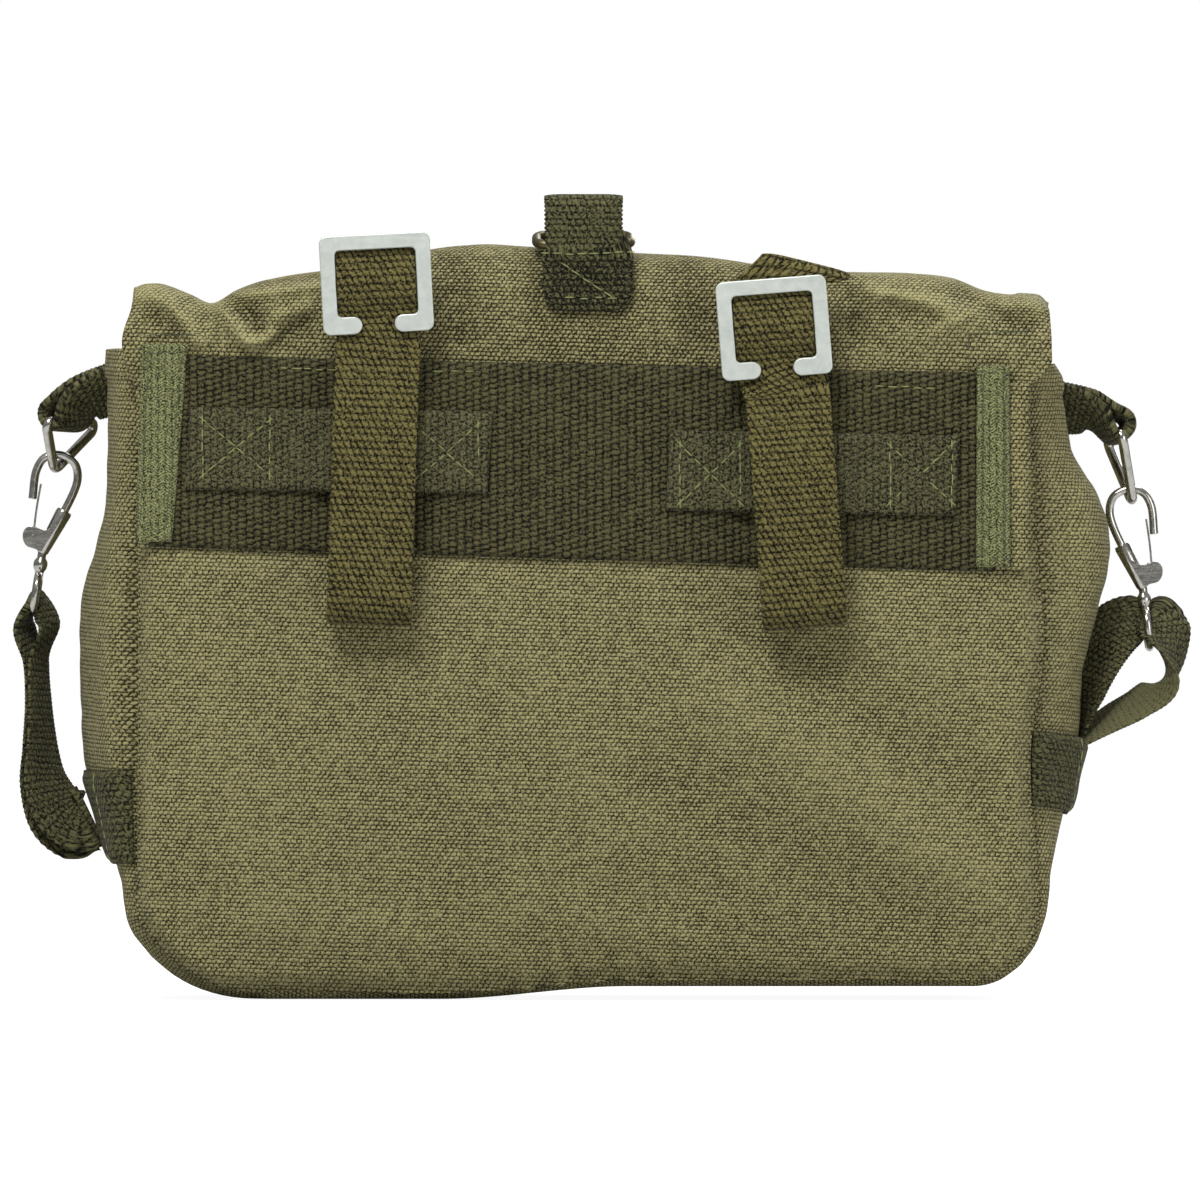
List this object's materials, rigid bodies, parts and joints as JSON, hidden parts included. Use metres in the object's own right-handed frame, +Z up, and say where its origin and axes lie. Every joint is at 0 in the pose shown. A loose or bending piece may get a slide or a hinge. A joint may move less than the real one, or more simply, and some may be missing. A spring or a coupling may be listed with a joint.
{
  "type": "military field bag",
  "caption": "Canvas field bag with a fold-over flap, a webbing band and belt straps with metal hooks on its back, a hanger tab on top, and a snap clip with a strap loop on each side.",
  "frame": {"origin": "on the surface the bag stands on, below the middle of its body", "axes": "+Z up, +X to the right as the back is seen, -Y out of the back, the wearer's side"},
  "size_m": [0.3572, 0.1216, 0.2403],
  "materials": {
    "canvas": "matte plain weave",
    "webbing_dark": "matte ribbed webbing",
    "strap_olive": "matte worn webbing",
    "tape_green": "matte herringbone tape",
    "hook_metal": "satin",
    "clip_metal": "worn nickel plate",
    "ring_bronze": "dark, worn"
  },
  "bodies": {
    "bag": {"back_panel": "canvas", "front_panel": "canvas", "gusset": "canvas", "flap": "canvas", "back_band": "webbing_dark", "keeper_left": "webbing_dark", "keeper_right": "webbing_dark", "hanger_tab": "webbing_dark", "side_loop_left": "webbing_dark", "side_loop_right": "webbing_dark", "side_strap_left": "webbing_dark", "side_strap_right": "webbing_dark", "lower_tab_left": "webbing_dark", "lower_tab_right": "webbing_dark", "belt_strap_left": "strap_olive", "belt_strap_right": "strap_olive", "end_tape_left": "tape_green", "end_tape_right": "tape_green", "belt_hook_left": "hook_metal", "belt_hook_right": "hook_metal", "side_ring_left": "clip_metal", "side_ring_right": "clip_metal", "clip_sleeve_left": "clip_metal", "clip_sleeve_right": "clip_metal", "clip_hook_left": "clip_metal", "clip_hook_right": "clip_metal", "clip_eye_left": "clip_metal", "clip_eye_right": "clip_metal", "tab_ring": "ring_bronze"},
    "gate_left": {"clip_gate_left": "clip_metal"},
    "gate_right": {"clip_gate_right": "clip_metal"}
  },
  "joints": [
    {"name": "gate_left_turn", "type": "hinge", "parent": "bag", "child": "gate_left", "pos_m": [-0.16899, -0.001, 0.13833], "axis": [0, 1, 0], "range_deg": [0, 18], "stiffness_Nm_per_rad": 0.01, "springref_deg": -11.46},
    {"name": "gate_right_turn", "type": "hinge", "parent": "bag", "child": "gate_right", "pos_m": [0.16761, -0.001, 0.12773], "axis": [0, -1, 0], "range_deg": [0, 18], "stiffness_Nm_per_rad": 0.01, "springref_deg": -11.46}
  ]
}
